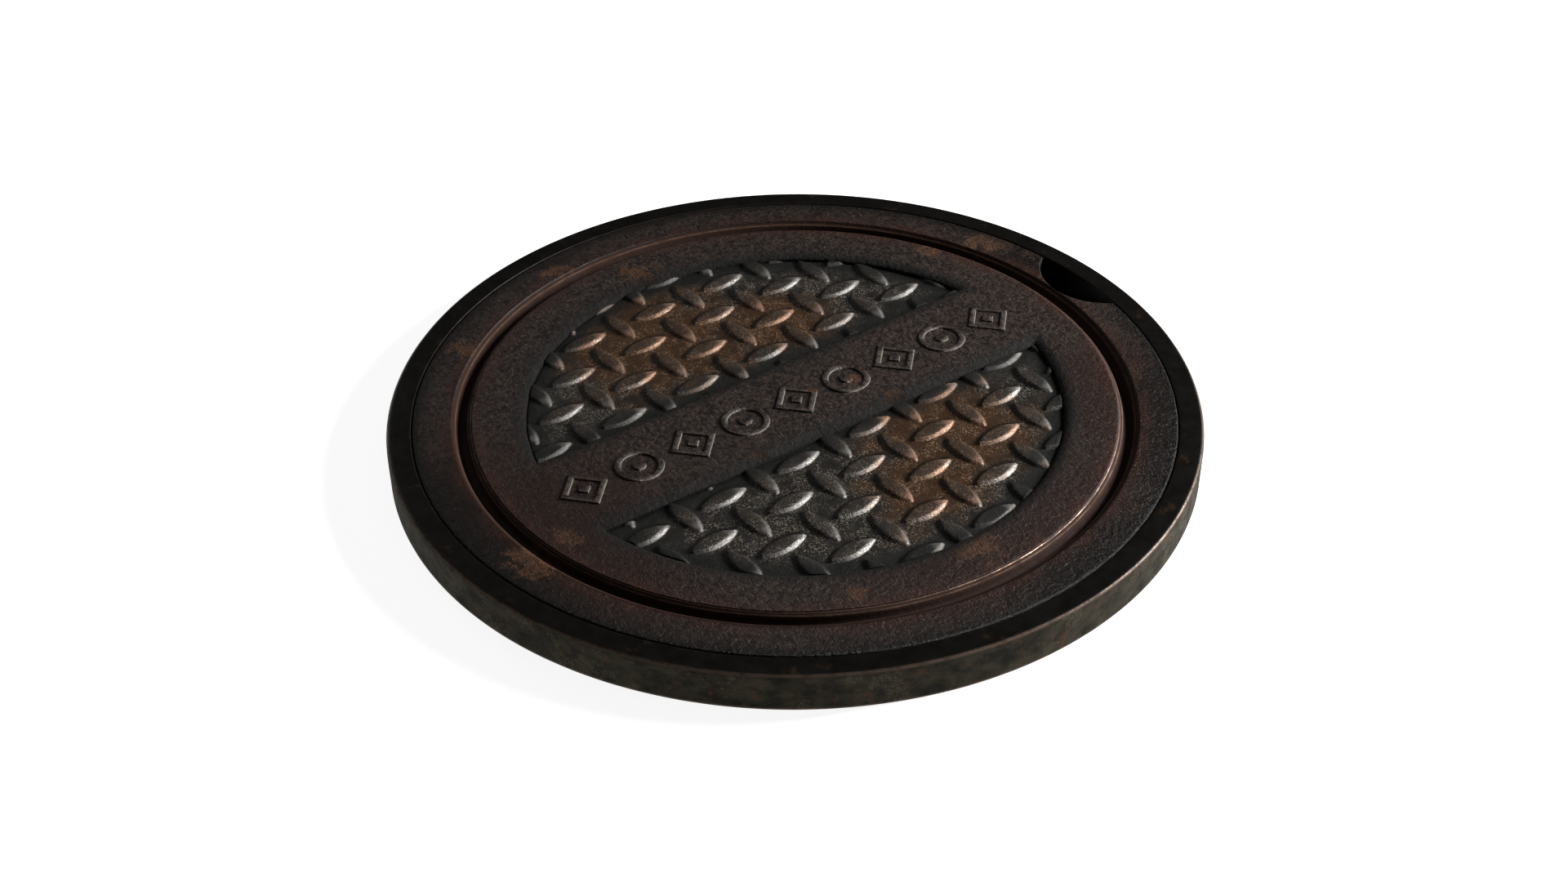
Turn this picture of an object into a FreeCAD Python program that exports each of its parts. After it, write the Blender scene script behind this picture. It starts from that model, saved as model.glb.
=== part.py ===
import FreeCAD, Part
import math
import os

# Round cast-iron manhole cover with two inlaid steel tread plates, resting on a cushion
# ring in a plain round frame.  Millimetres, +Z up, origin at the centre of the frame's
# base.  +X runs along the raised band, towards the pick notch in the cover's rim.

V = FreeCAD.Vector
ORIGIN = V(0, 0, 0)
UP = V(0, 0, 1)

# ---- driving dimensions ------------------------------------------------------------
HEIGHT = 35.0               # frame base to frame top; the cover lies flush with it

FRAME_OUTER_R = 354.0
FRAME_BORE_R = 333.0
CLEAR_OPENING_R = 305.0     # way down through the frame, inside the seat ledge
SEAT_Z = 9.0                # top of the seat ledge
FRAME_EDGE_ROUND = 3.0
BORE_EDGE_CHAMFER = 1.0

GASKET_INNER_R = 309.3
GASKET_OUTER_R = 326.7
GASKET_BOTTOM_Z = 7.5
GASKET_TOP_Z = 10.5         # the cover rests here
GASKET_GROOVE_GAP = 0.3

COVER_R = 331.0
COVER_EDGE_ROUND = 1.6
BEARING_INNER_R = 303.0     # flat bearing ring under the rim
WEB_BOTTOM_Z = 18.0         # underside of the cover's web, between the ribs

GROOVE_INNER_R = 282.5      # ring groove between the rim and the inner disc
GROOVE_OUTER_R = 297.0
GROOVE_BOTTOM_Z = 26.0
GROOVE_BOTTOM_ROUND = 3.5
GROOVE_LIP_ROUND = 1.6
GROOVE_STEP_DEPTH = 3.0     # a narrow step half way down each side of the groove
GROOVE_STEP_WIDTH = 2.8
GROOVE_STEP_CORNER = 0.6

NOTCH_ARC_R = 57.4          # pick notch: an arc cut in from the rim
NOTCH_DEPTH = 30.9

RIB_COUNT = 8
RIB_PITCH = 74.0
RIB_ROOT = 9.0
RIB_TIP = 6.0
RIB_OVERLAP = 4.0           # how far the ribs run into the bearing ring

PLATE_ARC_R = 233.6         # D-shaped tread plates, one each side of the band
PLATE_CHORD_Y = 55.6
PLATE_THICKNESS = 3.0
POCKET_FLOOR_Z = 26.0
POCKET_GAP = 0.4
DISH_WIDTH = 14.4           # sloping border round each pocket
DISH_DEPTH = 4.0

LOZENGE_PITCH = 39.5
LOZENGE_TILT = 3.4          # degrees between the lozenge rows and the band
LOZENGE_LENGTH = 48.0
LOZENGE_WIDTH = 18.8
LOZENGE_HEIGHT = 2.9
LOZENGE_SIDE_BEVEL = 2.9
LOZENGE_END_BEVEL = 3.4
UPPER_LOZENGE = (20.6, 158.1)      # centre of one lozenge that lies along X
LOWER_LOZENGE = (36.5, -143.5)

ORNAMENT_HEIGHT = 48.0      # raised running ornament on the band
ORNAMENT_PITCH = 54.0
ORNAMENT_RELIEF = 1.4
ORNAMENT_Y = -2.6
ORNAMENT_COUNT = 9
RHOMBUS_ASPECT = 0.95                # width over height
RHOMBUS_SHARES = (1.0, 0.70, 0.28)   # outside, hollow and boss, as shares of the height
RING_SHARES = (0.88, 0.66, 0.24)

STUD_D = 6.0
STUD_HOLE_D = 7.0
STUD_END_Z = 11.0
STUD_CHAMFER = 0.7
WASHER_D = 12.0
WASHER_HOLE_D = 6.4
WASHER_THICKNESS = 1.6
NUT_ACROSS_FLATS = 10.0
NUT_HEIGHT = 5.0
NUT_CORNER_DROP = 0.5
STUD_POINTS = [(0, 74), (-148, 74), (148, 74), (-74, 148), (74, 148), (0, 222)]

ROOT = 0.5                  # raised marks start this far inside the face they stand on
OVERCUT = 1.0               # cutters run this far past the face they open
TOLERANCE = 0.01

os.makedirs("parts", exist_ok=True)


# ---- helpers -----------------------------------------------------------------------
def turned(points):
    """Solid of revolution about Z from a closed outline of (radius, z) points."""
    wire = Part.makePolygon([V(r, 0, z) for r, z in points + points[:1]])
    return Part.Face(wire).revolve(ORIGIN, UP, 360)


def disc(radius, z_low, z_high, centre=(0, 0)):
    return Part.makeCylinder(radius, z_high - z_low, V(centre[0], centre[1], z_low))


def box(low, high):
    size = [b - a for a, b in zip(low, high)]
    return Part.makeBox(size[0], size[1], size[2], V(*low))


def arc_points(centre, radius, start, end, count):
    """(radius, z) points on an arc, from the start angle to the end angle in degrees."""
    angles = [math.radians(start + (end - start) * i / count) for i in range(count + 1)]
    return [(centre[0] + radius * math.cos(a), centre[1] + radius * math.sin(a)) for a in angles]


def circular_edges(shape, radius, z, centre=(0, 0)):
    """Edges of the shape that lie on one level circle."""
    middle = V(centre[0], centre[1], z)
    found = []
    for edge in shape.Edges:
        curve = edge.Curve
        if isinstance(curve, Part.Circle) and abs(curve.Radius - radius) < TOLERANCE:
            if curve.Center.distanceToPoint(middle) < TOLERANCE:
                found.append(edge)
    return found


def group(solids):
    return solids[0] if len(solids) == 1 else Part.makeCompound(solids)


def save(shape, node):
    if not shape.isValid():
        raise RuntimeError(node + " is not a valid solid")
    shape.exportStep("parts/" + node + ".step")


# ---- frame -------------------------------------------------------------------------
def make_frame_rim():
    """Upright outer ring: its bore holds the cover's rim, and its top lies flush with it."""
    ring = turned([
        (FRAME_BORE_R, 0),
        (FRAME_OUTER_R, 0),
        (FRAME_OUTER_R, HEIGHT),
        (FRAME_BORE_R + BORE_EDGE_CHAMFER, HEIGHT),
        (FRAME_BORE_R, HEIGHT - BORE_EDGE_CHAMFER),
    ])
    return ring.makeFillet(FRAME_EDGE_ROUND, circular_edges(ring, FRAME_OUTER_R, HEIGHT))


def make_frame_seat():
    """Flat ring inside the rim: the ledge under the cover, with the gasket's groove."""
    groove_inner = GASKET_INNER_R - GASKET_GROOVE_GAP
    groove_outer = GASKET_OUTER_R + GASKET_GROOVE_GAP
    return turned([
        (CLEAR_OPENING_R, 0),
        (FRAME_BORE_R, 0),
        (FRAME_BORE_R, SEAT_Z),
        (groove_outer, SEAT_Z),
        (groove_outer, GASKET_BOTTOM_Z),
        (groove_inner, GASKET_BOTTOM_Z),
        (groove_inner, SEAT_Z),
        (CLEAR_OPENING_R, SEAT_Z),
    ])


def make_gasket():
    return turned([
        (GASKET_INNER_R, GASKET_BOTTOM_Z),
        (GASKET_OUTER_R, GASKET_BOTTOM_Z),
        (GASKET_OUTER_R, GASKET_TOP_Z),
        (GASKET_INNER_R, GASKET_TOP_Z),
    ])


# ---- cover casting -----------------------------------------------------------------
def groove_side(edge_r, towards):
    """Points of one side of the ring groove, from the lip down to the foot of the step."""
    lip = GROOVE_LIP_ROUND
    corner = GROOVE_STEP_CORNER
    step_z = HEIGHT - GROOVE_STEP_DEPTH
    foot_r = edge_r + towards * GROOVE_STEP_WIDTH
    lip_arc = arc_points((0, HEIGHT - lip), lip, 90, 10, 4)
    points = [(edge_r + towards * (r - lip), z) for r, z in lip_arc]
    points += [
        (edge_r + towards * corner, step_z + corner / 2),
        (foot_r - towards * corner, step_z),
        (foot_r, step_z - corner),
    ]
    return points


def make_cover_blank():
    """Rim, web and bearing ring, with the ring groove turned into the top."""
    bottom_r = GROOVE_BOTTOM_ROUND
    inner_foot = GROOVE_INNER_R + GROOVE_STEP_WIDTH + GROOVE_STEP_CORNER
    outer_foot = GROOVE_OUTER_R - GROOVE_STEP_WIDTH - GROOVE_STEP_CORNER
    bottom_z = GROOVE_BOTTOM_Z + bottom_r
    outline = [
        (0, WEB_BOTTOM_Z),
        (BEARING_INNER_R, WEB_BOTTOM_Z),
        (BEARING_INNER_R, GASKET_TOP_Z),
        (COVER_R, GASKET_TOP_Z),
        (COVER_R, HEIGHT),
    ]
    outline += groove_side(GROOVE_OUTER_R, -1)
    outline += arc_points((outer_foot - bottom_r, bottom_z), bottom_r, 0, -90, 6)
    outline += arc_points((inner_foot + bottom_r, bottom_z), bottom_r, 270, 180, 6)
    outline += reversed(groove_side(GROOVE_INNER_R, 1))
    outline.append((0, HEIGHT))
    blank = turned(outline)
    return blank.makeFillet(COVER_EDGE_ROUND, circular_edges(blank, COVER_R, HEIGHT))


def make_ribs():
    """Waffle of drafted ribs under the web, ending level with the bearing ring."""
    reach = BEARING_INNER_R + RIB_OVERLAP
    section = [
        (-RIB_ROOT / 2, WEB_BOTTOM_Z + ROOT),
        (-RIB_TIP / 2, GASKET_TOP_Z),
        (RIB_TIP / 2, GASKET_TOP_Z),
        (RIB_ROOT / 2, WEB_BOTTOM_Z + ROOT),
    ]
    offsets = [RIB_PITCH * (i - (RIB_COUNT - 1) / 2) for i in range(RIB_COUNT)]
    ribs = []
    for offset in offsets:
        wire = Part.makePolygon([V(-reach, offset + y, z) for y, z in section + section[:1]])
        rib = Part.Face(wire).extrude(V(2 * reach, 0, 0))
        ribs.append(rib)
        ribs.append(rib.rotated(ORIGIN, UP, 90))
    waffle = ribs[0].fuse(ribs[1:])
    return waffle.common(disc(reach, 0, HEIGHT))


def segment_prism(arc_r, chord_y, z_low, z_high):
    """D-shaped prism on the +Y side: inside the arc and beyond the chord."""
    wide = arc_r + OVERCUT
    half_space = box((-wide, chord_y, z_low), (wide, wide, z_high))
    return disc(arc_r, z_low, z_high).common(half_space)


def make_pocket():
    """Cutter for one pocket: straight-sided seat for the plate under a sloping border."""
    arc_r = PLATE_ARC_R + POCKET_GAP
    chord_y = PLATE_CHORD_Y - POCKET_GAP
    top_z = HEIGHT + OVERCUT
    seat = segment_prism(arc_r, chord_y, POCKET_FLOOR_Z, top_z)
    rim_z = HEIGHT - DISH_DEPTH
    spread = DISH_WIDTH * (top_z - rim_z) / DISH_DEPTH
    cone = Part.makeCone(arc_r, arc_r + spread, top_z - rim_z, V(0, 0, rim_z))
    wide = arc_r + 2 * DISH_WIDTH
    wedge_wire = Part.makePolygon([
        V(-wide, chord_y, rim_z),
        V(-wide, wide, rim_z),
        V(-wide, wide, top_z),
        V(-wide, chord_y - spread, top_z),
        V(-wide, chord_y, rim_z),
    ])
    wedge = Part.Face(wedge_wire).extrude(V(2 * wide, 0, 0))
    return seat.fuse(cone.common(wedge))


def prism(points, z_low, z_high):
    wire = Part.makePolygon([V(x, y, z_low) for x, y in points + points[:1]])
    return Part.Face(wire).extrude(V(0, 0, z_high - z_low))


def rhombus(centre, half_width, half_height, z_low, z_high):
    x, y = centre
    points = [(x - half_width, y), (x, y - half_height), (x + half_width, y), (x, y + half_height)]
    return prism(points, z_low, z_high)


def make_ornament():
    """Row of raised rhombuses and rings, each with a boss in its middle, along the band."""
    low = HEIGHT - ROOT
    high = HEIGHT + ORNAMENT_RELIEF
    half = ORNAMENT_HEIGHT / 2
    pieces = []
    for i in range(ORNAMENT_COUNT):
        centre = (ORNAMENT_PITCH * (i - (ORNAMENT_COUNT - 1) / 2), ORNAMENT_Y)
        if i % 2 == 0:
            sizes = [half * share for share in RHOMBUS_SHARES]
            shapes = [rhombus(centre, RHOMBUS_ASPECT * size, size, low, high) for size in sizes]
        else:
            shapes = [disc(half * share, low, high, centre) for share in RING_SHARES]
        outer, hollow, boss = shapes
        pieces.append(outer.cut(hollow))
        pieces.append(boss)
    return pieces


def mirrored_points(side):
    return [(x, side * y) for x, y in STUD_POINTS]


def make_cover():
    casting = make_cover_blank().fuse(make_ribs())
    pocket = make_pocket()
    other_pocket = pocket.mirror(ORIGIN, V(0, 1, 0))
    notch_x = COVER_R - NOTCH_DEPTH + NOTCH_ARC_R
    notch = disc(NOTCH_ARC_R, 0, HEIGHT + OVERCUT, (notch_x, 0))
    holes = []
    for side in (1, -1):
        for point in mirrored_points(side):
            holes.append(disc(STUD_HOLE_D / 2, GASKET_TOP_Z, HEIGHT, point))
    casting = casting.cut([pocket, other_pocket, notch] + holes)
    casting = casting.fuse(make_ornament())
    return casting.removeSplitter()


# ---- tread plates ------------------------------------------------------------------
def lens_wire(half_length, half_width, z):
    """Pointed oval along X made of two arcs."""
    left = V(-half_length, 0, z)
    right = V(half_length, 0, z)
    upper = Part.Arc(left, V(0, half_width, z), right).toShape()
    lower = Part.Arc(right, V(0, -half_width, z), left).toShape()
    return Part.Wire([upper, lower])


def make_lozenge():
    """One raised pointed lozenge along X, with bevelled flanks, base at z = 0."""
    half_length = LOZENGE_LENGTH / 2
    half_width = LOZENGE_WIDTH / 2
    base = Part.Face(lens_wire(half_length, half_width, -ROOT)).extrude(V(0, 0, ROOT))
    foot = lens_wire(half_length, half_width, 0)
    top_length = half_length - LOZENGE_END_BEVEL
    top = lens_wire(top_length, half_width - LOZENGE_SIDE_BEVEL, LOZENGE_HEIGHT)
    crown = Part.makeLoft([foot, top], True, True)
    return base.fuse(crown)


def make_tread_plate(side, seed_point):
    """D-shaped plate; its lozenges alternate along and across the rows and stop at its edges."""
    plate_top = POCKET_FLOOR_Z + PLATE_THICKNESS
    outline = segment_prism(PLATE_ARC_R, PLATE_CHORD_Y, POCKET_FLOOR_Z, HEIGHT)
    if side < 0:
        outline = outline.mirror(ORIGIN, V(0, 1, 0))
    along = make_lozenge()
    across = along.rotated(ORIGIN, UP, 90)
    tilt = math.radians(LOZENGE_TILT)
    reach = int(2 * PLATE_ARC_R / LOZENGE_PITCH) + 1
    lozenges = []
    for i in range(-reach, reach + 1):
        for j in range(-reach, reach + 1):
            u = i * LOZENGE_PITCH
            v = j * LOZENGE_PITCH
            x = seed_point[0] + u * math.cos(tilt) - v * math.sin(tilt)
            y = seed_point[1] + u * math.sin(tilt) + v * math.cos(tilt)
            margin = LOZENGE_LENGTH / 2
            if math.hypot(x, y) > PLATE_ARC_R + margin or side * y < PLATE_CHORD_Y - margin:
                continue
            lozenge = along if (i + j) % 2 == 0 else across
            placed = lozenge.rotated(ORIGIN, UP, LOZENGE_TILT)
            placed.translate(V(x, y, plate_top))
            lozenges.append(placed)
    slab = segment_prism(PLATE_ARC_R + OVERCUT, PLATE_CHORD_Y - OVERCUT, POCKET_FLOOR_Z, plate_top)
    if side < 0:
        slab = slab.mirror(ORIGIN, V(0, 1, 0))
    return slab.fuse(lozenges).common(outline)


# ---- fasteners under the plates ----------------------------------------------------
def make_studs(side):
    """Studs welded to the underside of a tread plate."""
    studs = []
    for point in mirrored_points(side):
        shank = disc(STUD_D / 2, STUD_END_Z, POCKET_FLOOR_Z, point)
        end = circular_edges(shank, STUD_D / 2, STUD_END_Z, point)
        studs.append(shank.makeChamfer(STUD_CHAMFER, end))
    return group(studs)


def make_washers(side):
    washers = []
    for point in mirrored_points(side):
        blank = disc(WASHER_D / 2, WEB_BOTTOM_Z - WASHER_THICKNESS, WEB_BOTTOM_Z, point)
        hole = disc(WASHER_HOLE_D / 2, 0, HEIGHT, point)
        washers.append(blank.cut(hole))
    return group(washers)


def make_nuts(side):
    """Hexagon nuts with the corners of both faces turned back."""
    top = WEB_BOTTOM_Z - WASHER_THICKNESS
    bottom = top - NUT_HEIGHT
    corner_r = NUT_ACROSS_FLATS / math.sqrt(3)
    nuts = []
    for x, y in mirrored_points(side):
        angles = [math.radians(60 * i) for i in range(6)]
        hexagon = [(x + corner_r * math.cos(a), y + corner_r * math.sin(a)) for a in angles]
        blank = prism(hexagon, bottom, top)
        barrel = turned([
            (0, bottom),
            (NUT_ACROSS_FLATS / 2, bottom),
            (corner_r, bottom + NUT_CORNER_DROP),
            (corner_r, top - NUT_CORNER_DROP),
            (NUT_ACROSS_FLATS / 2, top),
            (0, top),
        ])
        barrel.translate(V(x, y, 0))
        bore = disc(STUD_D / 2, 0, HEIGHT, (x, y))
        nuts.append(blank.common(barrel).cut(bore))
    return group(nuts)


# ---- build -------------------------------------------------------------------------
save(make_frame_rim(), "frame_rim")
save(make_frame_seat(), "frame_seat")
save(make_gasket(), "seat_gasket")
save(make_cover(), "cover")
for name, side, seed_point in (("upper", 1, UPPER_LOZENGE), ("lower", -1, LOWER_LOZENGE)):
    save(make_tread_plate(side, seed_point), name + "_tread_plate")
    save(make_studs(side), name + "_plate_studs")
    save(make_washers(side), name + "_plate_washers")
    save(make_nuts(side), name + "_plate_nuts")
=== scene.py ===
import math

import bpy
import numpy as np
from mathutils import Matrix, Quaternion, Vector, noise
from mathutils.geometry import delaunay_2d_cdt


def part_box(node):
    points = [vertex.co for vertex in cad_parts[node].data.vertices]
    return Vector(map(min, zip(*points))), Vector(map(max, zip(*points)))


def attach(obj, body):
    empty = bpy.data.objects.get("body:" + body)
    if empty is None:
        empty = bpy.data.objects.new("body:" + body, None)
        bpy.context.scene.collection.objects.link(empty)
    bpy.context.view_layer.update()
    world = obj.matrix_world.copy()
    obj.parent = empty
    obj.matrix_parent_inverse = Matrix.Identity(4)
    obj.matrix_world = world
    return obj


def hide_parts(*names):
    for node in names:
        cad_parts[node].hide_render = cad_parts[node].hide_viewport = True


# Looks of a round cast-iron manhole cover with two inlaid tread plates in a plain frame.
# Shapes are worked out in millimetres, in the part's own frame, and stored in metres.

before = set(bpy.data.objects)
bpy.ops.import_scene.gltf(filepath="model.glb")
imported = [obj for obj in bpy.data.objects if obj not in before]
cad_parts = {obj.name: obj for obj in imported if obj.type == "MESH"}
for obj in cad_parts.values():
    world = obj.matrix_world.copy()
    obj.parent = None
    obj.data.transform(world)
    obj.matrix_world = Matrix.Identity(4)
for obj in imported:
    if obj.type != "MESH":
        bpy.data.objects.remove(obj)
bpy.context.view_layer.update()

MM = 0.001
TAU = 2 * math.pi

# ---- dimensions, in millimetres ------------------------
frame_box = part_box("frame_rim")
cover_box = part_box("cover")
TOP = frame_box[1].z / MM
FRAME_R = frame_box[1].x / MM
FRAME_WIDTH = 21.0
BORE_R = FRAME_R - FRAME_WIDTH
FRAME_EDGE_ROUND = 3.8
FRAME_FOOT_BEVEL = 0.8
BORE_EDGE_ROUND = 1.0
FRAME_SEGMENTS = 900
FRAME_UNEVENNESS = 0.12

COVER_GAP = 1.2
COVER_R = BORE_R - COVER_GAP
COVER_BOTTOM = cover_box[0].z / MM
COVER_EDGE_ROUND = 1.6
BEARING_WIDTH = 28.8
BEARING_INNER_R = COVER_R - BEARING_WIDTH

GROOVE_INNER_R = 282.5
GROOVE_OUTER_R = 297.0
GROOVE_MIDDLE_R = (GROOVE_INNER_R + GROOVE_OUTER_R) / 2
GROOVE_HALF_WIDTH = (GROOVE_OUTER_R - GROOVE_INNER_R) / 2

NOTCH_ARC_R = 57.4
NOTCH_X = 357.5
NOTCH_EDGE_ROUND = 1.8

RIB_PITCH = 74.0
RIB_LINES = 10
# Height of the underside by distance from a rib's middle: rib, drafted flank, fillet, web.
RIB_PROFILE = [(0.0, 0.0), (3.0, 0.0), (3.5, 0.5), (4.0, 5.2), (4.6, 6.8), (5.8, 7.5)]
RIB_HALF_WIDTH = RIB_PROFILE[1][0]
WEB_BOTTOM = COVER_BOTTOM + RIB_PROFILE[-1][1]

POCKET_ARC_R = 234.0
POCKET_CHORD_Y = 55.2
POCKET_DEPTH = 9.0
POCKET_FLOOR = TOP - POCKET_DEPTH
POCKET_EDGE_ROUND = 0.8
DISH_DEPTH = 4.0
DISH_WIDTH = 14.4

PLATE_GAP = 0.4
PLATE_ARC_R = POCKET_ARC_R - PLATE_GAP
PLATE_CHORD_Y = POCKET_CHORD_Y + PLATE_GAP
PLATE_THICKNESS = 3.0
PLATE_TOP = POCKET_FLOOR + PLATE_THICKNESS
PLATE_EDGE_ROUND = 0.6

LOZENGE_PITCH = 39.5
LOZENGE_TILT = math.radians(3.4)
# The flat top of a lozenge is a pointed lens; its flank runs round it, with blunt ends.
LENS_HALF_LENGTH = 21.2
LENS_HALF_WIDTH = 6.4
LENS_R = (LENS_HALF_LENGTH ** 2 + LENS_HALF_WIDTH ** 2) / (2 * LENS_HALF_WIDTH)
LENS_SINK = LENS_R - LENS_HALF_WIDTH
# Height by distance outside the lens: low crown, round shoulder, steep flank down to the foot.
LOZENGE_PROFILE = [
    (-6.4, 3.05), (-3.5, 2.96), (-1.6, 2.84), (-0.7, 2.70), (0.0, 2.50), (0.6, 2.18), (1.1, 1.78),
    (1.6, 1.28), (2.1, 0.76), (2.6, 0.34), (3.1, 0.08), (3.6, 0.0),
]
LOZENGE_FOOT = LOZENGE_PROFILE[-1][0]
BLUNT_DROOP = 0.42
# The lit side, on which raised marks are worn and carry painted highlights, with painted shadow beside
# lozenges on the far side; and the end that each lozenge droops to.
WEAR_AND_LIT_SIDE_ANGLE = math.radians(-73)
WEAR_AND_LIT_SIDE_DIRECTION = (math.cos(WEAR_AND_LIT_SIDE_ANGLE), math.sin(WEAR_AND_LIT_SIDE_ANGLE))
BLUNT_ANGLE = math.radians(-40)
BLUNT_DIRECTION = (math.cos(BLUNT_ANGLE), math.sin(BLUNT_ANGLE))
# The middle of one lozenge of each plate, which places its whole pattern.
UPPER_LOZENGE = (20.6, 158.1)
LOWER_LOZENGE = (36.5, -143.5)

ORNAMENT_COUNT = 9
ORNAMENT_PITCH = 54.0
ORNAMENT_Y = -2.6
ORNAMENT_RELIEF = 1.4
ORNAMENT_FLANK = 0.7
ORNAMENT_X = [ORNAMENT_PITCH * (i - (ORNAMENT_COUNT - 1) / 2) for i in range(ORNAMENT_COUNT)]
RHOMBUS_HALF = (22.8, 24.0)
# Distance from a rhombus's middle to its sides, and its strokes as shares of that.
RHOMBUS_REACH = RHOMBUS_HALF[0] * RHOMBUS_HALF[1] / math.hypot(*RHOMBUS_HALF)
RHOMBUS_STROKE_MIDDLE = 0.85
RHOMBUS_STROKE_HALF = 0.15
RHOMBUS_BOSS = 0.28
RING_MIDDLE_R = 18.5
RING_HALF_STROKE = 2.64
RING_BOSS_R = 5.8

# Unevenness: size, depth and, for the cover, a seed. Each tread plate has its own seed.
COVER_SWELL = (26.0, 0.16, 3.1)
COVER_PITTING = (7.0, 0.07, 8.4)
UNDERSIDE_PITTING = (9.0, 0.12, 5.5)
PLATE_PITTING = (5.0, 0.10)
PLATE_SWELL = (40.0, 0.2)
PLATE_SEED = 11.0

# Distances beyond this are all taken as this.
FAR = 99.0
# Points this close to an outline count as being on it.
ON_OUTLINE = 1e-3


# ---- points and distances ------------------------------
def arc(centre, radius, start, end, spacing):
    """Points on an arc, from the start angle to the end angle, not including its end."""
    count = max(3, round(abs(end - start) * radius / spacing))
    angles = start + (end - start) * np.arange(count) / count
    return np.c_[centre[0] + radius * np.cos(angles), centre[1] + radius * np.sin(angles)]


def line(a, b, spacing):
    """Points on a straight line, not including its end."""
    a, b = np.array(a, float), np.array(b, float)
    count = max(1, round(float(np.hypot(*(b - a))) / spacing))
    return a + (b - a) * (np.arange(count) / count)[:, None]


def segment_loop(arc_r, chord_y, offset, spacing):
    """Closed outline of a D shape on the +Y side, moved outwards by the offset."""
    half = math.sqrt(arc_r ** 2 - chord_y ** 2)
    lift = math.atan2(chord_y, half)
    if offset <= 0:
        r, y = arc_r + offset, chord_y - offset
        lift = math.asin(y / r)
        half = r * math.cos(lift)
        return np.vstack([line((-half, y), (half, y), spacing),
                          arc((0, 0), r, lift, math.pi - lift, spacing)])
    return np.vstack([
        line((-half, chord_y - offset), (half, chord_y - offset), spacing),
        arc((half, chord_y), offset, -math.pi / 2, lift, spacing),
        arc((0, 0), arc_r + offset, lift, math.pi - lift, spacing),
        arc((-half, chord_y), offset, math.pi - lift, 1.5 * math.pi, spacing),
    ])


def segment_distance(x, y, arc_r, chord_y):
    """Distance outside a D shape on either side of the band; negative inside it."""
    beyond_arc = np.hypot(x, y) - arc_r
    below_chord = chord_y - np.abs(y)
    corner = np.hypot(np.maximum(beyond_arc, 0), np.maximum(below_chord, 0))
    return np.where((beyond_arc > 0) & (below_chord > 0), corner, np.maximum(beyond_arc, below_chord))


def hex_grid(reach, spacing):
    rows = np.arange(-reach, reach, spacing * math.sqrt(3) / 2)
    columns = np.arange(-reach, reach, spacing)
    x, y = np.meshgrid(columns, rows)
    x[::2] += spacing / 2
    return np.c_[x.ravel(), y.ravel()]


def edge_drop(distance, radius):
    """How far a rounded edge lies below the flat, at a distance in from the edge."""
    inward = np.clip(radius - distance, 0, radius)
    return radius - np.sqrt(radius ** 2 - inward ** 2)


def smooth(t):
    t = np.clip(t, 0, 1)
    return t * t * (3 - 2 * t)


def unevenness(x, y, size, depth, seed):
    """Gentle irregular height of a rough casting, by position."""
    values = [noise.fractal(Vector((a / size, b / size, seed)), 1.0, 2.0, 3) for a, b in zip(x, y)]
    return depth * np.array(values)


# ---- meshes --------------------------------------------
def triangulate(points, inside):
    """Net of triangles over the points, kept where inside(x, y) holds at their centres."""
    net = delaunay_2d_cdt([Vector(p) for p in points], [], [], 0, ON_OUTLINE, False)
    xy = np.array([v[:] for v in net[0]])
    triangles = np.array(net[2])
    centres = xy[triangles].mean(axis=1)
    triangles = triangles[inside(centres[:, 0], centres[:, 1])]
    used, triangles = np.unique(triangles, return_inverse=True)
    return xy[used], triangles.reshape(-1, 3)


def outline_edges(triangles):
    """Edges with a triangle on one side only, in that triangle's direction."""
    edges = np.vstack([triangles[:, [0, 1]], triangles[:, [1, 2]], triangles[:, [2, 0]]])
    _, first, count = np.unique(np.sort(edges, axis=1), axis=0, return_index=True, return_counts=True)
    return edges[first[count == 1]]


def add_to_scene(name, data):
    thing = bpy.data.objects.new(name, data)
    bpy.context.scene.collection.objects.link(thing)
    return thing


def make_object(name, vertices, faces, crease_degrees):
    mesh = bpy.data.meshes.new(name)
    mesh.from_pydata((np.array(vertices, float) * MM).tolist(), [], faces)
    mesh.update()
    mesh.shade_smooth()
    mesh.set_sharp_from_angle(angle=math.radians(crease_degrees))
    return add_to_scene(name, mesh)


def closed_piece(name, top, bottom, crease_degrees):
    """One closed mesh: a top sheet, a bottom sheet with the same outline, and the wall."""
    top_xy, top_z, top_triangles = top
    bottom_xy, bottom_z, bottom_triangles = bottom
    vertices = np.vstack([np.c_[top_xy, top_z], np.c_[bottom_xy, bottom_z]])
    below = len(top_xy)
    faces = top_triangles.tolist() + (bottom_triangles[:, ::-1] + below).tolist()
    edges = outline_edges(top_triangles)
    rim = np.unique(edges)
    bottom_rim = np.unique(outline_edges(bottom_triangles))
    apart = np.linalg.norm(top_xy[rim][:, None] - bottom_xy[bottom_rim][None], axis=2)
    under = dict(zip(rim.tolist(), (bottom_rim[apart.argmin(axis=1)] + below).tolist()))
    faces += [(b, a, under[a], under[b]) for a, b in edges.tolist()]
    return make_object(name, vertices, faces, crease_degrees)


# ---- cover casting -------------------------------------
# Depth of the ring groove by distance in from either edge: round lip, narrow step, wall, floor.
GROOVE_PROFILE = [
    (-1.8, 0.0), (-1.2, 0.06), (-0.7, 0.22), (-0.3, 0.55), (0.0, 0.95), (0.3, 1.5), (0.7, 1.75),
    (1.3, 1.85), (1.8, 2.05), (2.2, 2.5), (2.6, 3.3), (3.0, 4.6), (3.5, 6.3), (4.1, 7.7),
    (5.0, 8.5), (6.1, 8.9), (7.25, 9.0),
]
EDGE_LOOPS = (0.0, 0.03, 0.12, 0.27, 0.5, 0.75, 1.0)


def notch_distance(x, y):
    return np.hypot(x - NOTCH_X, y) - NOTCH_ARC_R


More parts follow.
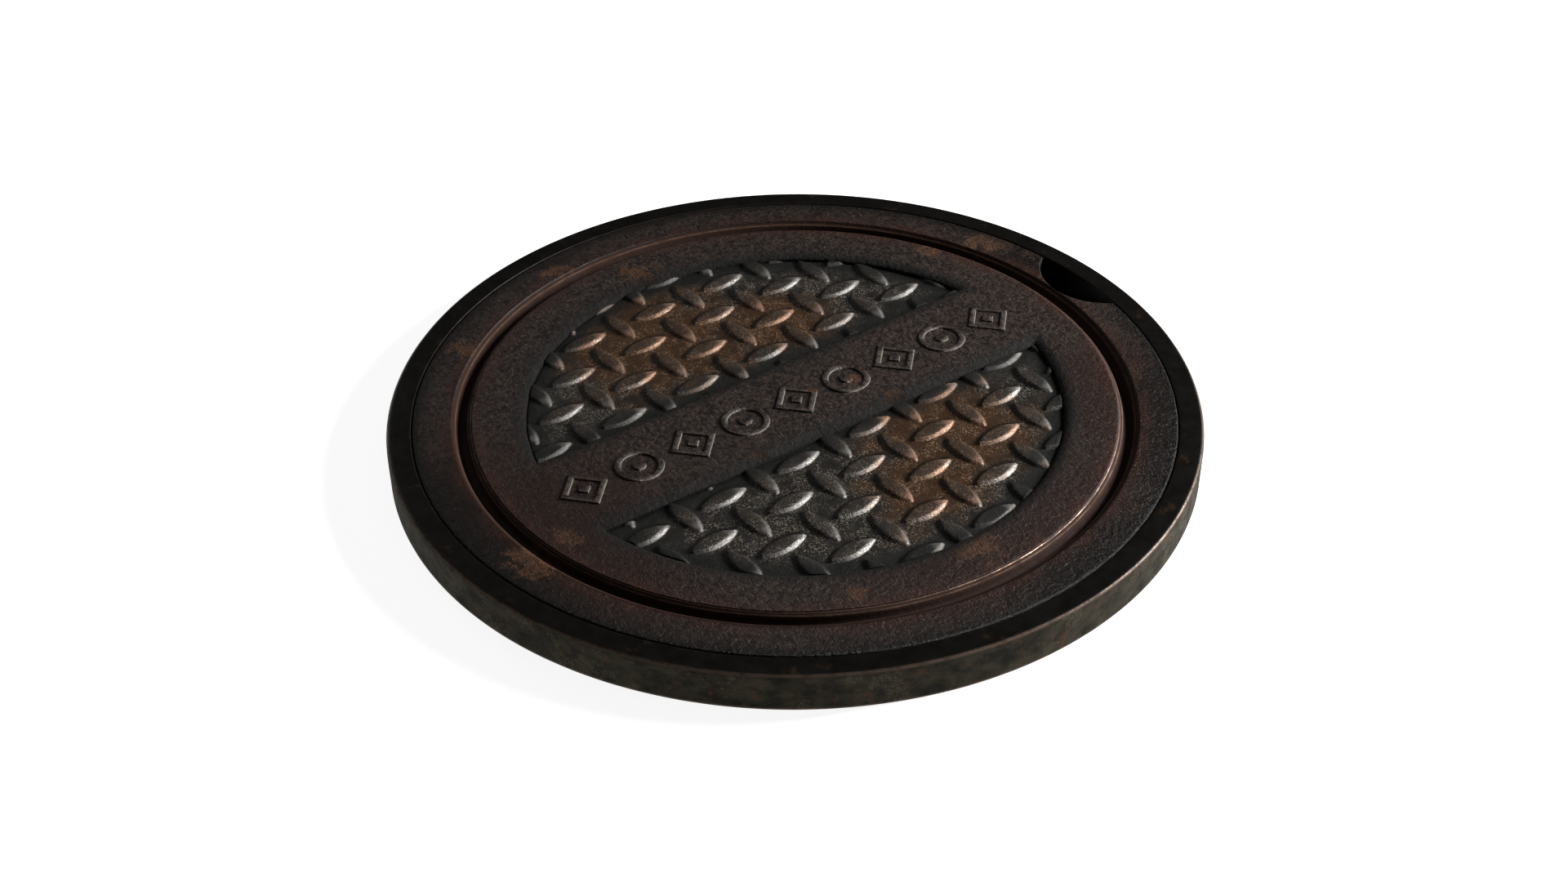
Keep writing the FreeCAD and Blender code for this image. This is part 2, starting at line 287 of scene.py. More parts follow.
def ornament_inside(x, y):
    """Distance inside the raised strokes of the band's ornament; negative outside them."""
    inside = np.full_like(x, -FAR)
    for i, middle in enumerate(ORNAMENT_X):
        u, v = x - middle, y - ORNAMENT_Y
        if i % 2 == 0:
            share = np.abs(u) / RHOMBUS_HALF[0] + np.abs(v) / RHOMBUS_HALF[1]
            stroke = (RHOMBUS_STROKE_HALF - np.abs(share - RHOMBUS_STROKE_MIDDLE)) * RHOMBUS_REACH
            boss = (RHOMBUS_BOSS - share) * RHOMBUS_REACH
        else:
            radius = np.hypot(u, v)
            stroke = RING_HALF_STROKE - np.abs(radius - RING_MIDDLE_R)
            boss = RING_BOSS_R - radius
        inside = np.maximum(inside, np.maximum(stroke, boss))
    return inside


def ornament_points():
    """Loops of points along both sides of every stroke of the ornament."""
    spacing = 1.5
    outer = RHOMBUS_STROKE_MIDDLE + RHOMBUS_STROKE_HALF
    inner = RHOMBUS_STROKE_MIDDLE - RHOMBUS_STROKE_HALF
    loops = []
    for i, middle in enumerate(ORNAMENT_X):
        for offset in np.linspace(-0.5, 0.5, 4) * ORNAMENT_FLANK:
            if i % 2 == 0:
                back = offset / RHOMBUS_REACH
                for share in (outer - back, inner + back, RHOMBUS_BOSS - back):
                    tips = [(middle + RHOMBUS_HALF[0] * share * c, ORNAMENT_Y + RHOMBUS_HALF[1] * share * s)
                            for c, s in ((1, 0), (0, 1), (-1, 0), (0, -1))]
                    loops += [line(tips[k], tips[k - 1], spacing) for k in range(4)]
            else:
                radii = (RING_MIDDLE_R + RING_HALF_STROKE - offset,
                         RING_MIDDLE_R - RING_HALF_STROKE + offset,
                         RING_BOSS_R - offset)
                loops += [arc((middle, ORNAMENT_Y), radius, 0, TAU, spacing) for radius in radii]
    return np.vstack(loops)


def cover_inside(x, y, margin=0.0):
    return (np.hypot(x, y) < COVER_R + margin) & (notch_distance(x, y) > -margin)


def cover_outline_points():
    """Loops round the rim and the notch, close together where the edge is rounded."""
    loops = []
    for share in EDGE_LOOPS:
        loops.append(arc((0, 0), COVER_R - share * COVER_EDGE_ROUND, 0, TAU, 1.9))
        loops.append(arc((NOTCH_X, 0), NOTCH_ARC_R + share * NOTCH_EDGE_ROUND,
                         math.pi / 2, 1.5 * math.pi, 1.2))
    points = np.vstack(loops)
    return points[cover_inside(*points.T, ON_OUTLINE)]


def cover_height(x, y):
    """Height of the cover's top: groove, sloping borders, pockets, ornament, round edges."""
    r = np.hypot(x, y)
    z = TOP + unevenness(x, y, *COVER_SWELL) + unevenness(x, y, *COVER_PITTING)
    into_groove = np.minimum(r - GROOVE_INNER_R, GROOVE_OUTER_R - r)
    z -= np.interp(into_groove, *zip(*GROOVE_PROFILE))
    beyond = segment_distance(x, y, POCKET_ARC_R, POCKET_CHORD_Y)
    slope = 1 - np.clip(beyond / DISH_WIDTH, 0, 1)
    z -= DISH_DEPTH * slope ** 3 + edge_drop(np.maximum(beyond, 0), POCKET_EDGE_ROUND)
    z = np.where(beyond < -0.05, POCKET_FLOOR, z)
    z += ORNAMENT_RELIEF * smooth(ornament_inside(x, y) / ORNAMENT_FLANK + 0.5)
    z -= np.maximum(edge_drop(COVER_R - r, COVER_EDGE_ROUND),
                    edge_drop(notch_distance(x, y), NOTCH_EDGE_ROUND))
    return z


def cover_top_sheet():
    outline = cover_outline_points()
    rings = []
    for depth_step, _ in GROOVE_PROFILE:
        for radius in {GROOVE_INNER_R + depth_step, GROOVE_OUTER_R - depth_step}:
            rings.append(arc((0, 0), radius, 0, TAU, 2.1))
    pocket = []
    for offset in (-0.1, 0.0, 0.15, 0.5, 1.6, 3.6, 6.2, 9.2, DISH_WIDTH):
        loop = segment_loop(POCKET_ARC_R, POCKET_CHORD_Y, offset, 2.2)
        pocket += [loop, loop * (1, -1)]
    floor_points = hex_grid(POCKET_ARC_R, 14.0)
    x, y = floor_points.T
    floor_points = floor_points[segment_distance(x, y, POCKET_ARC_R, POCKET_CHORD_Y) < -8]
    ornament = ornament_points()
    fill = hex_grid(COVER_R, 3.1)
    x, y = fill.T
    r = np.hypot(x, y)
    beyond = segment_distance(x, y, POCKET_ARC_R, POCKET_CHORD_Y)
    open_ground = (r < COVER_R - COVER_EDGE_ROUND - 1) & (notch_distance(x, y) > NOTCH_EDGE_ROUND + 1)
    open_ground &= np.abs(r - GROOVE_MIDDLE_R) > 10.5
    open_ground &= (beyond > DISH_WIDTH + 1.2) | ((beyond > 1.0) & (beyond < DISH_WIDTH - 1))
    open_ground &= np.abs(ornament_inside(x, y)) > 2.0
    points = np.vstack([outline, *rings, *pocket, floor_points, ornament, fill[open_ground]])
    xy, triangles = triangulate(points[cover_inside(*points.T, ON_OUTLINE)], cover_inside)
    return xy, cover_height(*xy.T), triangles


def underside_height(x, y):
    """Height of the cover's underside: web, waffle of ribs, and the flat bearing ring."""
    def rise(distance):
        return np.interp(distance, *zip(*RIB_PROFILE))

    def from_rib(along):
        return np.abs((along / RIB_PITCH) % 1.0 - 0.5) * RIB_PITCH

    inside_bearing = BEARING_INNER_R + RIB_HALF_WIDTH - np.hypot(x, y)
    height = np.minimum(rise(from_rib(x)), rise(from_rib(y)))
    height = np.minimum(height, rise(np.maximum(inside_bearing, 0)))
    rough = unevenness(x, y, *UNDERSIDE_PITTING) * (height > 1)
    return COVER_BOTTOM + height + rough


def underside_sheet(outline):
    """Bottom sheet of the cover, with the outline's points."""
    between_ribs = {-18.0, 18.0, RIB_PITCH / 2}
    steps = sorted({s * d for d, _ in RIB_PROFILE for s in (1, -1)} | between_ribs)
    lines = [RIB_PITCH * (i - (RIB_LINES - 1) / 2) + step for i in range(RIB_LINES) for step in steps]
    x, y = np.meshgrid(lines, lines)
    grid = np.c_[x.ravel(), y.ravel()]
    x, y = grid.T
    grid = grid[(np.hypot(x, y) < BEARING_INNER_R - 4) & (notch_distance(x, y) > 2)]
    rings = [arc((0, 0), BEARING_INNER_R + RIB_HALF_WIDTH - d, 0, TAU, 4.0) for d, _ in RIB_PROFILE]
    rings = np.vstack(rings)
    rings = rings[notch_distance(*rings.T) > 1.0]
    xy, triangles = triangulate(np.vstack([outline, rings, grid]), cover_inside)
    return xy, underside_height(*xy.T), triangles


def make_cover():
    top = cover_top_sheet()
    rim = np.unique(outline_edges(top[2]))
    cover = closed_piece("cover_casting", top, underside_sheet(top[0][rim]), 50)
    x, y = top[0].T
    # Ornament edges on the lit side: worn, and lightened as a painted highlight.
    reach = 0.2
    ahead = ornament_inside(x + reach * WEAR_AND_LIT_SIDE_DIRECTION[0], y + reach * WEAR_AND_LIT_SIDE_DIRECTION[1])
    behind = ornament_inside(x - reach * WEAR_AND_LIT_SIDE_DIRECTION[0], y - reach * WEAR_AND_LIT_SIDE_DIRECTION[1])
    facing = (behind - ahead) / (2 * reach)
    on_edge = smooth(1 - np.abs(ornament_inside(x, y) - 0.1) / 0.5)
    add_attribute(cover, "worn", on_edge * smooth((facing - 0.2) / 0.7))
    return cover


# ---- tread plates --------------------------------------
def lozenge_centres(side, seed_point):
    """(x, y, turn) of every lozenge that reaches the plate; neighbours lie crosswise."""
    c, s = math.cos(LOZENGE_TILT), math.sin(LOZENGE_TILT)
    reach = int(2 * PLATE_ARC_R / LOZENGE_PITCH) + 1
    centres = []
    for i in range(-reach, reach + 1):
        for j in range(-reach, reach + 1):
            x = seed_point[0] + LOZENGE_PITCH * (i * c - j * s)
            y = seed_point[1] + LOZENGE_PITCH * (i * s + j * c)
            near_arc = math.hypot(x, y) < PLATE_ARC_R + LENS_HALF_LENGTH
            if near_arc and side * y > PLATE_CHORD_Y - LENS_HALF_LENGTH:
                turn = LOZENGE_TILT + (math.pi / 2 if (i + j) % 2 else 0.0)
                centres.append((x, y, turn))
    return centres


def lozenge_distance(x, y, centres):
    """Distance outside the nearest lens, negative inside it, the direction away from it, and the
    share of its half length by which the point lies towards its blunt end."""
    nearest = np.full_like(x, FAR)
    away = np.zeros((2, len(x)))
    along = np.zeros_like(x)
    for cx, cy, turn in centres:
        c, s = math.cos(turn), math.sin(turn)
        u = (x - cx) * c + (y - cy) * s
        v = (y - cy) * c - (x - cx) * s
        past_tip = (np.abs(u) - LENS_HALF_LENGTH) * LENS_SINK > np.abs(v) * LENS_HALF_LENGTH
        from_u = np.where(past_tip, np.abs(u) - LENS_HALF_LENGTH, np.abs(u)) * np.sign(u)
        from_v = np.where(past_tip, np.abs(v), np.abs(v) + LENS_SINK) * np.sign(v)
        reach = np.hypot(from_u, from_v)
        distance = reach - np.where(past_tip, 0, LENS_R)
        closer = distance < nearest
        nearest = np.where(closer, distance, nearest)
        reach = np.maximum(reach, 1e-6)
        away = np.where(closer, ((from_u * c - from_v * s) / reach, (from_u * s + from_v * c) / reach), away)
        blunt = math.copysign(1.0, c * BLUNT_DIRECTION[0] + s * BLUNT_DIRECTION[1])
        along = np.where(closer, u * blunt / LENS_HALF_LENGTH, along)
    return nearest, away, along


def lozenge_loops(centres):
    """Loops of points round each lozenge at the heights of its profile."""
    loops = []
    for offset, _ in LOZENGE_PROFILE[1:]:
        radius = LENS_R + offset
        pointed = offset <= 0
        half_angle = math.acos(LENS_SINK / (radius if pointed else LENS_R))
        for cx, cy, turn in centres:
            for flip in (0.0, math.pi):
                middle = turn + math.pi / 2 + flip
                centre = (cx - LENS_SINK * math.cos(middle), cy - LENS_SINK * math.sin(middle))
                loops.append(arc(centre, radius, middle - half_angle, middle + half_angle, 1.5))
                if not pointed:
                    tip = (cx + LENS_HALF_LENGTH * math.cos(turn + flip),
                           cy + LENS_HALF_LENGTH * math.sin(turn + flip))
                    spread = math.pi / 2 - half_angle
                    loops.append(arc(tip, offset, turn + flip - spread, turn + flip + spread, 1.0))
    return np.vstack(loops)


def tread_height(x, y, distance, along, seed):
    raised = np.interp(distance, *zip(*LOZENGE_PROFILE))
    raised *= 1 - BLUNT_DROOP * smooth((along - 0.25) / 0.9)
    rough = unevenness(x, y, *PLATE_PITTING, seed) + unevenness(x, y, *PLATE_SWELL, seed + 2)
    edge = np.minimum(PLATE_ARC_R - np.hypot(x, y), np.abs(y) - PLATE_CHORD_Y)
    return PLATE_TOP + raised + rough - edge_drop(np.maximum(edge, 0), PLATE_EDGE_ROUND)


def add_attribute(piece, name, values):
    """Stores one number for each vertex, 0 past the end of the values."""
    numbers = np.zeros(len(piece.data.vertices), np.float32)
    numbers[:len(values)] = values
    piece.data.attributes.new(name, "FLOAT", "POINT").data.foreach_set("value", numbers)


def make_tread_plate(name, side, seed_point):
    centres = lozenge_centres(side, seed_point)
    loops = [segment_loop(PLATE_ARC_R, PLATE_CHORD_Y, -inset, 1.6) * (1, side)
             for inset in (0.0, 0.15, PLATE_EDGE_ROUND)]
    marks = lozenge_loops(centres)
    fill = hex_grid(PLATE_ARC_R, 2.8)
    gap = lozenge_distance(*fill.T, centres)[0]
    fill = fill[(gap > LOZENGE_FOOT + 1.2) | (gap < -4.4)]
    inner = np.vstack([marks, fill])
    x, y = inner.T
    inner = inner[(np.hypot(x, y) < PLATE_ARC_R - 0.9) & (side * y > PLATE_CHORD_Y + 0.9)]

    def inside(x, y):
        return (np.hypot(x, y) < PLATE_ARC_R) & (side * y > PLATE_CHORD_Y)

    xy, triangles = triangulate(np.vstack([*loops, inner]), inside)
    distance, away, along = lozenge_distance(*xy.T, centres)
    top = (xy, tread_height(*xy.T, distance, along, PLATE_SEED + side), triangles)
    rim = np.unique(outline_edges(triangles))
    under_fill = hex_grid(PLATE_ARC_R, 18.0)
    x, y = under_fill.T
    under_fill = under_fill[(np.hypot(x, y) < PLATE_ARC_R - 6) & (side * y > PLATE_CHORD_Y + 6)]
    under_xy, under_triangles = triangulate(np.vstack([xy[rim], under_fill]), inside)
    bottom = (under_xy, np.full(len(under_xy), POCKET_FLOOR), under_triangles)
    plate = closed_piece(name, top, bottom, 60)
    facing = away[0] * WEAR_AND_LIT_SIDE_DIRECTION[0] + away[1] * WEAR_AND_LIT_SIDE_DIRECTION[1]
    blunt_end = away[0] * BLUNT_DIRECTION[0] + away[1] * BLUNT_DIRECTION[1]
    # Wear and a painted highlight run over the flank on the lit side, and further up on to the crown at the
    # blunt end.
    reach = 0.1 + 1.8 * smooth((blunt_end - 0.5) / 0.5)
    flank = smooth((distance + reach) / 0.7) * smooth((LOZENGE_FOOT - 0.3 - distance) / 0.6)
    fading = 0.3 + 0.7 * smooth((along + 0.8) / 1.1)
    add_attribute(plate, "worn", flank * fading * smooth((facing - 0.22) / 0.78))
    add_attribute(plate, "crown", smooth((0.4 - distance) / 0.8))
    # Blunt ends, scuffed and lightened as a painted highlight.
    above_foot = smooth((LOZENGE_FOOT - 1.0 - distance) / 1.2)
    add_attribute(plate, "tip", smooth((along - 0.45) / 0.40) * above_foot)
    # Painted shadow: a dark band on the base beside each lozenge, on the side away from the lit side, where
    # its cast shadow falls.
    painted_shadow = smooth((-0.1 - facing) / 0.6) * smooth((7.5 - distance) / 5.0) * smooth(distance / 0.8)
    add_attribute(plate, "painted_shadow", painted_shadow)
    return plate


# ---- frame ---------------------------------------------
def turned_piece(name, outline, segments, crease_degrees, dent):
    """Closed ring turned about Z from (radius, z) points, dented inwards by up to about dent."""
    waves_round, wave_height = 9, 9
    r, z = np.array(outline).T
    angles = TAU * np.arange(segments) / segments
    spots = [Vector((math.cos(a) * waves_round, math.sin(a) * waves_round, h / wave_height))
             for a in angles for h in z]
    wave = np.array([noise.fractal(spot, 1.0, 2.0, 3) for spot in spots])
    wave = wave.reshape(segments, len(z)) * dent
    radii = r[None] - np.abs(wave)
    vertices = np.stack([radii * np.cos(angles)[:, None], radii * np.sin(angles)[:, None],
                         np.broadcast_to(z, radii.shape)], axis=2).reshape(-1, 3)
    n = len(z)
    faces = []
    for i in range(segments):
        for k in range(n):
            a, b = i * n, ((i + 1) % segments) * n
            faces.append((a + k, b + k, b + (k + 1) % n, a + (k + 1) % n))
    return make_object(name, vertices, faces, crease_degrees)


def quarter(centre_r, centre_z, radius, start_degrees, count):
    """Points on a quarter circle of an outline, with both ends."""
    angles = np.radians(start_degrees + 90 * np.arange(count + 1) / count)
    return [(centre_r + radius * math.cos(a), centre_z + radius * math.sin(a)) for a in angles]


def make_frame():
    """The frame's rim; its outline runs from the bore's foot out, up, in and down again."""
    outline = [(BORE_R, 0.0), (FRAME_R - FRAME_FOOT_BEVEL, 0.0), (FRAME_R, FRAME_FOOT_BEVEL)]
    outline += [(FRAME_R, z) for z in np.linspace(4, TOP - FRAME_EDGE_ROUND - 2, 8)]
    outline += quarter(FRAME_R - FRAME_EDGE_ROUND, TOP - FRAME_EDGE_ROUND, FRAME_EDGE_ROUND, 0, 10)
    outline += [(r, TOP) for r in np.linspace(FRAME_R - FRAME_EDGE_ROUND - 2, BORE_R + 3, 5)]
    outline += quarter(BORE_R + BORE_EDGE_ROUND, TOP - BORE_EDGE_ROUND, BORE_EDGE_ROUND, 90, 5)
    outline += [(BORE_R, z) for z in (TOP - 4, TOP - 12, 10.0, 4.0)]
    return turned_piece("frame_ring", outline, FRAME_SEGMENTS, 55, FRAME_UNEVENNESS)


# ---- studs ---------------------------------------------
STUD_POINTS = [(0, 74), (-148, 74), (148, 74), (-74, 148), (74, 148), (0, 222)]
STUD_R = 3.0
THREAD_PITCH = 1.0
THREAD_DEPTH = 0.5
STUD_END = 11.0
STUD_END_BEVEL = 0.7
STUD_SIDES = 24
STUD_STEP = 0.25
# The thread stops this far above the underside of the web.
THREAD_INTO_WEB = 3.0


def make_studs(name, side):
    """Threaded studs, one closed screw surface each."""
    heights = np.arange(STUD_END, POCKET_FLOOR + 0.01, STUD_STEP)
    vertices, faces = [], []
    for cx, cy in STUD_POINTS:
        first = len(vertices)
        for z in heights:
            for k in range(STUD_SIDES):
                phase = (z / THREAD_PITCH + k / STUD_SIDES) % 1.0
                threaded = z < WEB_BOTTOM + THREAD_INTO_WEB
                depth = THREAD_DEPTH * abs(2 * phase - 1) if threaded else 0.0
                bevel = max(0.0, STUD_END_BEVEL - (z - STUD_END))
                r = STUD_R - max(depth, bevel)
                a = TAU * k / STUD_SIDES
                vertices.append((cx + r * math.cos(a), side * cy + r * math.sin(a), z))
        for i in range(len(heights) - 1):
            level = first + i * STUD_SIDES
            for k in range(STUD_SIDES):
                a, b = level + k, level + (k + 1) % STUD_SIDES
                faces.append((a, b, b + STUD_SIDES, a + STUD_SIDES))
        last = first + (len(heights) - 1) * STUD_SIDES
        faces.append(tuple(range(first + STUD_SIDES - 1, first - 1, -1)))
        faces.append(tuple(range(last, last + STUD_SIDES)))
    return make_object(name, vertices, faces, 40)


# ---- materials -----------------------------------------
class Shader:
    """Short calls for building one material's nodes."""

    def __init__(self, name):
        self.material = bpy.data.materials.new(name)
        self.material.use_nodes = True
        self.tree = self.material.node_tree
        self.tree.nodes.clear()
        self.surface = self.node("BsdfPrincipled")
        output = self.node("OutputMaterial")
        self.tree.links.new(self.surface.outputs[0], output.inputs[0])
        self.position = self.node("TexCoord").outputs["Object"]
        self.colour = None

    def node(self, kind):
        return self.tree.nodes.new("ShaderNode" + kind)

    def feed(self, socket, value):
        if isinstance(value, bpy.types.NodeSocket):
            self.tree.links.new(value, socket)
        else:
            socket.default_value = value

    def fix(self, name, value):
        """Sets one of the surface's own sockets to a value that is the same all over."""
        self.surface.inputs[name].default_value = value

    def math(self, operation, a, b=0.0, clamp=False):
        node = self.node("Math")
        node.operation = operation
        node.use_clamp = clamp
        self.feed(node.inputs[0], a)
        self.feed(node.inputs[1], b)
        return node.outputs[0]

    def times(self, a, b):
        return self.math("MULTIPLY", a, b)

    def plus(self, a, b, clamp=False):
        return self.math("ADD", a, b, clamp)

    def minus(self, a, b, clamp=False):
        return self.math("SUBTRACT", a, b, clamp)

    def larger(self, a, b):
        return self.math("MAXIMUM", a, b)

    def inverse(self, share):
        return self.math("SUBTRACT", 1.0, share)

    def step(self, value, low, high, bottom=0.0, top=1.0):
        """Smooth step of a value from low to high."""
        node = self.node("MapRange")
        node.interpolation_type = "SMOOTHSTEP"
        self.feed(node.inputs[0], value)
        for socket, number in zip(list(node.inputs)[1:5], (low, high, bottom, top)):
            socket.default_value = number
        return node.outputs[0]

    def stretched(self, scale, turn_degrees=0.0):
        """Object position, scaled and turned about Z."""
        node = self.node("Mapping")
        node.inputs["Rotation"].default_value = (0, 0, math.radians(turn_degrees))
        node.inputs["Scale"].default_value = scale
        self.feed(node.inputs[0], self.position)
        return node.outputs[0]

    def noise(self, size_mm, detail=4.0, roughness=0.55, vector=None, distortion=0.0):
        node = self.node("TexNoise")
        node.inputs["Scale"].default_value = 1 / (size_mm * MM)
        node.inputs["Detail"].default_value = detail
        node.inputs["Roughness"].default_value = roughness
        node.inputs["Distortion"].default_value = distortion
        self.feed(node.inputs["Vector"], vector or self.position)
        return node.outputs[0]

    def ragged(self, size_mm, detail, roughness, width):
        """Noise about 0, that breaks up the border of a patch by the width."""
        return self.times(self.minus(self.noise(size_mm, detail, roughness), 0.5), width)

    def flecks(self, size_mm, share):
        """1 on scattered specks, in about the given share of the cells."""
        node = self.node("TexVoronoi")
        node.inputs["Scale"].default_value = 1 / (size_mm * MM)
        self.feed(node.inputs["Vector"], self.position)
        chance = self.node("SeparateColor")
        self.feed(chance.inputs[0], node.outputs["Color"])
        chosen = self.math("LESS_THAN", chance.outputs[0], share)
        return self.times(chosen, self.step(node.outputs["Distance"], 0.30, 0.55, 1.0, 0.0))

    def blend(self, share, a, b):
        """Colour from a to b by the share."""
        node = self.node("Mix")
        node.data_type = "RGBA"
        self.feed(node.inputs["Factor"], share)
        for socket, colour in ((node.inputs[6], a), (node.inputs[7], b)):
            self.feed(socket, colour if isinstance(colour, bpy.types.NodeSocket) else (*colour, 1.0))
        return node.outputs[2]

    def coat(self, share, colour):
        """Covers the surface's colour so far with another colour, by the share."""
        self.colour = self.blend(share, self.colour, colour)

    def axes(self):
        node = self.node("SeparateXYZ")
        self.feed(node.inputs[0], self.position)
        return node.outputs[0], node.outputs[1], node.outputs[2]

    def radius(self):
        """Distance from the Z axis, in metres."""
        x, y, _ = self.axes()
        squares = self.plus(self.math("POWER", x, 2.0), self.math("POWER", y, 2.0))
        return self.math("SQRT", squares)

    def near(self, spots):
        """1 in the middle of each (x, y, size) spot in millimetres, fading to 0 at its size."""
        flat = self.node("VectorMath")
        flat.operation = "MULTIPLY"
        self.feed(flat.inputs[0], self.position)
        flat.inputs[1].default_value = (1, 1, 0)
        total = None
        for x, y, size in spots:
            node = self.node("VectorMath")
            node.operation = "DISTANCE"
            self.feed(node.inputs[0], flat.outputs[0])
            node.inputs[1].default_value = (x * MM, y * MM, 0)
            share = self.step(node.outputs["Value"], 0.0, size * MM, 1.0, 0.0)
            total = share if total is None else self.larger(total, share)
        return total

    def attribute(self, name):
        node = self.node("Attribute")
        node.attribute_name = name
        return node.outputs["Fac"]

    def bump(self, height, distance_mm, strength):
        node = self.node("Bump")
        node.inputs["Strength"].default_value = strength
        node.inputs["Distance"].default_value = distance_mm * MM
        self.feed(node.inputs["Height"], height)
        return node.outputs[0]

    def finish(self, roughness, metallic, normal):
        for name, value in (("Base Color", self.colour), ("Roughness", roughness),
                            ("Metallic", metallic), ("Normal", normal)):
            self.feed(self.surface.inputs[name], value)
        return self.material


def cast_grain(shader):
    """Bumps of a sand-cast skin: pebbly grain, and fine curling strokes from four turned noises."""
    grain = shader.noise(1.3, 4.0, 0.7)
    hairs = None
    for turn in (12.0, 55.0, 98.0, 150.0):
        strokes = shader.noise(1.15, 1.0, 0.5, shader.stretched((1.0, 0.22, 1.0), turn), 0.5)
        hairs = strokes if hairs is None else shader.larger(hairs, strokes)
    pebbles = shader.noise(4.2, 3.0, 0.6)
    height = shader.plus(shader.times(grain, 0.45), shader.times(hairs, 0.8))
    return shader.plus(height, shader.times(pebbles, 1.1)), hairs, pebbles


# Patches: x and y of the middle, and the distance at which they end, in millimetres.
# The first oily spot, on the -X side away from the key light, is painted shade; the others are stains.
OILY_AND_SHADE_SPOTS = [(-318, 0, 170), (60, -310, 110), (230, -220, 150), (310, 40, 60)]
RUDDY_SPOTS = [(40, -330, 300), (-330, -60, 260), (250, -180, 160)]
RUST_SPOTS = [
    (-300, -55, 44), (-262, -50, 26), (0, 250, 40), (-65, 303, 30), (-200, 238, 28),
    (0, -252, 44), (-112, -242, 22), (-197, -126, 16), (304, 104, 48), (246, 122, 22), (322, 60, 18),
    (60, -8, 16), (74, -46, 22), (-72, -49, 20), (-226, 52, 22), (-313, -138, 22), (20, 0, 10),
]

# Colours, as linear red, green and blue.
IRON_DARK = (0.0178, 0.0121, 0.0100)
IRON_LIGHT = (0.0325, 0.0228, 0.0186)
IRON_MOTTLE = (0.0450, 0.0325, 0.0268)
IRON_HAIRS = (0.084, 0.057, 0.046)
IRON_HOLLOWS = (0.006, 0.0045, 0.004)
IRON_RUDDY = (0.0195, 0.0092, 0.0064)
IRON_FLECKS = (0.10, 0.080, 0.070)
IRON_WORN_AND_HIGHLIGHT = (0.30, 0.26, 0.23)
IRON_OILY_AND_SHADE = (0.0070, 0.0046, 0.0034)
GROOVE_BORDER = (0.046, 0.018, 0.012)
GROOVE_WALL = (0.0310, 0.0120, 0.0056)
GROOVE_FLOOR = (0.0200, 0.0070, 0.0034)
BARE_LIP = (0.215, 0.142, 0.108)
OUTER_LIP = (0.016, 0.0066, 0.0042)
RUST_DARK = (0.028, 0.0125, 0.0065)
RUST_OCHRE = (0.118, 0.054, 0.0255)
# Painted shade with some dirt, in the dishes round the pockets.
POCKET_SHADE_AND_DIRT = (0.0035, 0.0030, 0.0026)
RIM_DIRT = (0.0042, 0.0034, 0.0028)


